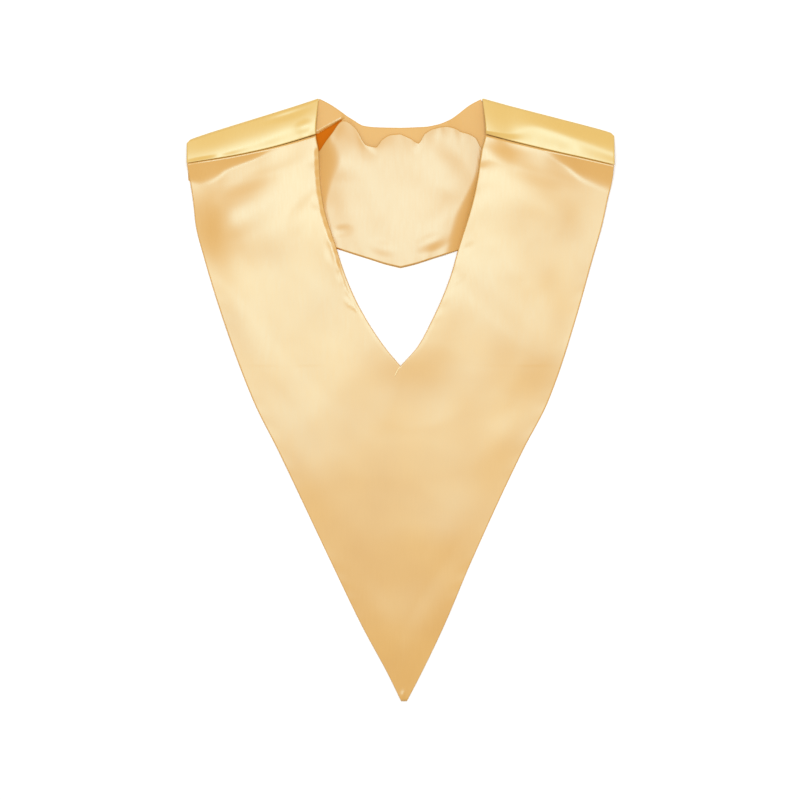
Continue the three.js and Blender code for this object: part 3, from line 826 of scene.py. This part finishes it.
def backPanel():
    shoulderShares = edgeShares(back["shoulderColumns"], back["shoulderCrowding"])
    halfSpan, halfNeck = stole["halfSpan"], stole["halfNeck"]
    columnX = np.concatenate([
        mix(-halfSpan, -halfNeck, shoulderShares),
        np.linspace(-halfNeck, back["pocketEnd"], back["pocketColumns"] + 1)[1:],
        np.linspace(back["pocketEnd"], halfNeck, back["neckColumns"] + 1)[1:],
        mix(halfNeck, halfSpan, shoulderShares)[1:],
    ])
    first = back["shoulderColumns"]
    last = first + back["pocketColumns"] + back["neckColumns"]
    inNeck = (np.arange(len(columnX)) > first) & (np.arange(len(columnX)) < last)
    x = columnX[None, :]
    cloth = stole["cloth"]
    low = cloth / 2
    high = foldTop(x) - cloth / 2
    radius = (high - low) / 2
    top = np.where(inNeck, backNeckY(columnX), foldY(columnX) - radius[0] - cloth / 2)

    # the layer that lies on the table
    up = edgeShares(back["lyingRows"], back["lyingCrowding"])[:, None]
    lyingY = mix(hemY(x), top, up)
    lean = sided("hemLean", x) / halfSpan * (1 - up)
    lyingX = x * (1 - lean)
    strip = puckers(lyingX, np.abs(backNeckY(lyingX) - lyingY), **back["neckPuckers"])
    strip = strip * smoothStep(back["puckerEnd"], back["puckerFull"], np.abs(x))
    lyingZ = low + backLift(lyingX, lyingY) + np.maximum(0, strip)
    lying = np.stack([lyingX, lyingY, lyingZ], -1)
    side = np.minimum(np.abs(lyingX + halfSpan), np.abs(lyingX - halfSpan))
    lyingEdge = np.minimum(lyingY - hemY(x), side)
    lyingEdge[:, inNeck] = np.minimum(lyingEdge, top - lyingY)[:, inNeck]

    # the shoulder folds
    turn = (np.linspace(-0.5, 0.5, back["foldSteps"] + 1)[1:-1] * np.pi)[:, None]
    inset = back["cornerInset"] * np.cos(turn) * shoulderShare(x) ** back["cornerPower"]
    foldZ = mix(low + backLift(x, top), high + neckRaise(x, top), (1 + np.sin(turn)) / 2)
    fold = np.stack([x - np.sign(x) * inset, top + radius * np.cos(turn), foldZ], -1)
    foldNormal = np.stack([0 * foldZ, -np.cos(turn) + 0 * foldZ, -np.sin(turn) + 0 * foldZ], -1)
    shoulderSide = np.minimum(np.abs(np.abs(x) - halfNeck), np.abs(halfSpan - np.abs(x)))

    # the bands, which lie face down
    down = edgeShares(back["bandRows"], back["bandCrowding"])[:, None]
    bandY = mix(top, seamY(x), down)
    shift = np.where(x < 0, neckX("left", bandY) + halfNeck, neckX("right", bandY) - halfNeck)
    bandX = x + shift * (1 - shoulderShare(x)) ** 2
    seamPucker = puckers(bandX, bandY - seamY(x), **back["seamPuckers"])
    band = np.stack([bandX, bandY, bandLift(bandX, bandY, down) + seamPucker], -1)
    bandEdge = np.minimum(shoulderSide, stole["seamTurn"] * (bandY - seamY(x)))

    middle = np.concatenate([lying, fold, band])
    normal = np.concatenate([flatNormal(lying), foldNormal, -flatNormal(band)])
    edge = np.concatenate([lyingEdge, shoulderSide + 0 * foldZ, bandEdge])
    keep = np.ones((len(middle) - 1, len(columnX) - 1), bool)
    keep[back["lyingRows"] :, first:last] = False
    cellX = (lyingX[:-1, :-1] + lyingX[1:, 1:]) / 2
    cellY = (lyingY[:-1, :-1] + lyingY[1:, 1:]) / 2
    over = aboveLip(cellX, cellY)
    atPocket = cellX < pocketLip["endX"]
    kinds = np.full(keep.shape, kindOf["band"])
    # Cells in the pocket get the matte reverse satin, whose colour holds painted shade.
    kinds[: back["lyingRows"]] = np.where(
        atPocket & (over <= 0), kindOf["pocket"],
        np.where(atPocket & (over < pocketLip["roll"]), kindOf["lip"], kindOf["facing"]),
    )
    piece, area = clothMesh("backPanel", middle, normal, turnedHalf(cloth, edge), keep, None, kinds)
    for satin in backSatins.values():
        piece.data.materials.append(satin)
    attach(piece, "root")
    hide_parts("back_panel")
    return piece, area


backPiece, backArea = backPanel()


# Back lining

lining = {
    "columns": 260, "rows": 90, "rowCrowding": 0.75, "inset": 0.8,
    "dome": 3.4, "domeWidth": 50,  # the lining is higher in the opening than under the arms
    "hemShare": 0.65, "hemReach": 60, "topShare": 0.75, "topReach": 24,  # and lower at its two edges
    "fallSlope": 0.175, "fallFull": 20, "fallFade": 85, "fallLean": {"left": 0.0, "right": 0.4},
    "foldReach": 8, "openReach": 26,  # this far from the arms the folds and the small waves are full
    "waveBase": 0.2, "waveRise": 0.1, "waves": {"wavelength": 38, "waves": 8, "seed": 31},
    "topPuckers": {"wavelength": 17, "depth": 0.25, "reach": 10, "seed": 12},
    "hemPuckers": {"wavelength": 19, "depth": 0.2, "reach": 8, "seed": 13},
}

# Next to the arms the lining falls steeply for a short way: width in mm over the height of the picture.
armFalls = {
    "left": [
        {"y": 130, "width": 1}, {"y": 188, "width": 2}, {"y": 215, "width": 12},
        {"y": 240, "width": 23}, {"y": 275, "width": 13}, {"y": 300, "width": 8},
    ],
    "right": [
        {"y": 130, "width": 8}, {"y": 150, "width": 12}, {"y": 188, "width": 15},
        {"y": 234, "width": 2}, {"y": 300, "width": 1},
    ],
}

liningFolds = [
    {"x": -33, "y": 262, "run": 22, "reach": 8, "turn": -58, "rise": 0.8},
    {"x": -60, "y": 168, "run": 18, "reach": 9, "turn": 8, "rise": -0.5},
    {"x": 31, "y": 158, "run": 24, "reach": 11, "turn": 20, "rise": 0.7},
    {"x": -18, "y": 152, "run": 20, "reach": 10, "turn": -15, "rise": 0.4},
    {"x": 18, "y": 260, "run": 16, "reach": 7, "turn": 80, "rise": 0.5},
    {"x": 46, "y": 232, "run": 36, "reach": 20, "turn": 128, "rise": 0.6},
    {"x": -15, "y": 200, "run": 60, "reach": 50, "turn": 20, "rise": 0.8},
]


# How far up the lining has come at a place beside one arm: over the dome's width, and the short fall.
def besideArm(x, y, side):
    inwards = np.maximum(0, (neckX(side, y) - x) * shoulders[side]["sign"])
    dome = 1 - np.exp(-inwards / lining["domeWidth"])
    width = readTable(armFalls[side], "y", "width", y + lining["fallLean"][side] * inwards)
    fall = lining["fallSlope"] * width * np.sin(np.minimum(1, inwards / width) * np.pi / 2)
    return inwards, dome, fall * (1 - smoothStep(lining["fallFull"], lining["fallFade"], inwards))


def backLining():
    across = np.linspace(-1, 1, lining["columns"] + 1)
    x = (across * liningEdge[-1]["across"] * stole["halfSpan"])[None, :]
    up = edgeShares(lining["rows"], lining["rowCrowding"])[:, None]
    bottom, top = hemY(x) + lining["inset"], liningTopY(x)
    y = mix(bottom, top, up)
    x = x + 0 * y
    fromLeft, leftDome, leftFall = besideArm(x, y, "left")
    fromRight, rightDome, rightFall = besideArm(x, y, "right")
    fromArm = np.minimum(fromLeft, fromRight)
    inOpening = smoothStep(0, lining["openReach"], fromArm)
    nearHem = (1 - np.clip((y - bottom) / lining["hemReach"], 0, 1)) ** 2
    nearTop = (1 - np.clip((top - y) / lining["topReach"], 0, 1)) ** 2
    dome = lining["dome"] * leftDome * rightDome
    dome = dome * mix(1, lining["hemShare"], nearHem) * mix(1, lining["topShare"], nearTop)
    folds = foldHeight(liningFolds, x, y) * smoothStep(0, lining["foldReach"], fromArm)
    folds = folds + dome + leftFall + rightFall
    small = (lining["waveBase"] + lining["waveRise"] * unevenness(x, y, **lining["waves"])) * inOpening
    pucker = puckers(x, top - y, **lining["topPuckers"]) + puckers(x, y - bottom, **lining["hemPuckers"])
    base = stole["cloth"] + stole["gap"] + stole["lining"] / 2
    z = base + neckLift(x, y) + np.maximum(stripLift(x, y), folds + small + pucker * inOpening)
    middle = np.stack([x, y, z], -1)
    edge = np.minimum(np.minimum(top - y, y - bottom), np.abs(np.abs(x) - np.abs(x).max()))
    thick = turnedHalf(stole["lining"], edge)
    keep = np.ones((x.shape[0] - 1, x.shape[1] - 1), bool)
    piece, area = clothMesh("backLining", middle, flatNormal(middle), thick, keep)
    piece.data.materials.append(liningSatin)
    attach(piece, "root")
    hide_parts("back_lining")
    return piece, area


liningPiece, liningArea = backLining()

# Floor, light and camera

studio = {
    "floorSize": 8.0, "floorDrop": 0.0004, "floorColour": "#FCFCFC", "floorRoughness": 0.95, "ambient": 0.5,
    "softboxPower": 41.5, "softboxWide": 1.2, "softboxDeep": 0.9, "softboxPlace": (-0.02, 0.36, 2.3),
    "cameraPlace": (-0.0005, 0, 2.0), "lens": 90, "sensor": 36,
}


def addFloor():
    half, z = studio["floorSize"] / 2, -studio["floorDrop"]
    mesh = bpy.data.meshes.new("floor")
    corners = [(-half, -half, z), (half, -half, z), (half, half, z), (-half, half, z)]
    mesh.from_pydata(corners, [], [(0, 1, 2, 3)])
    floor = bpy.data.objects.new("floor", mesh)
    bpy.context.scene.collection.objects.link(floor)
    # Matte background paper: white without a reflection, so the eye sees only the stole.
    paper = bpy.data.materials.new("matteStudioPaper")
    paper.use_nodes = True
    shader = paper.node_tree.nodes["Principled BSDF"]
    shader.inputs["Base Color"].default_value = fromHex(studio["floorColour"])
    shader.inputs["Roughness"].default_value = studio["floorRoughness"]
    mesh.materials.append(paper)


# One big light nearly overhead, which looks at the middle of the stole.
def addSoftbox():
    light = bpy.data.lights.new("softbox", "AREA")
    light.shape = "RECTANGLE"
    light.size, light.size_y = studio["softboxWide"], studio["softboxDeep"]
    light.energy = studio["softboxPower"]
    lamp = bpy.data.objects.new("softbox", light)
    bpy.context.scene.collection.objects.link(lamp)
    lamp.location = studio["softboxPlace"]
    lamp.rotation_euler = (-Vector(studio["softboxPlace"])).to_track_quat("-Z", "Y").to_euler()


addFloor()
addSoftbox()
world = bpy.data.worlds.new("paleRoom")
world.use_nodes = True
world.node_tree.nodes["Background"].inputs["Color"].default_value = fromHex("#FFFFFF")
world.node_tree.nodes["Background"].inputs["Strength"].default_value = studio["ambient"]
bpy.context.scene.world = world
bpy.context.scene.view_settings.view_transform = "Standard"

camera = bpy.data.cameras.new("camera")
camera.lens = studio["lens"]
camera.sensor_width = studio["sensor"]
eye = bpy.data.objects.new("camera", camera)
eye.location = studio["cameraPlace"]
bpy.context.scene.collection.objects.link(eye)
bpy.context.scene.camera = eye
print("studio made")
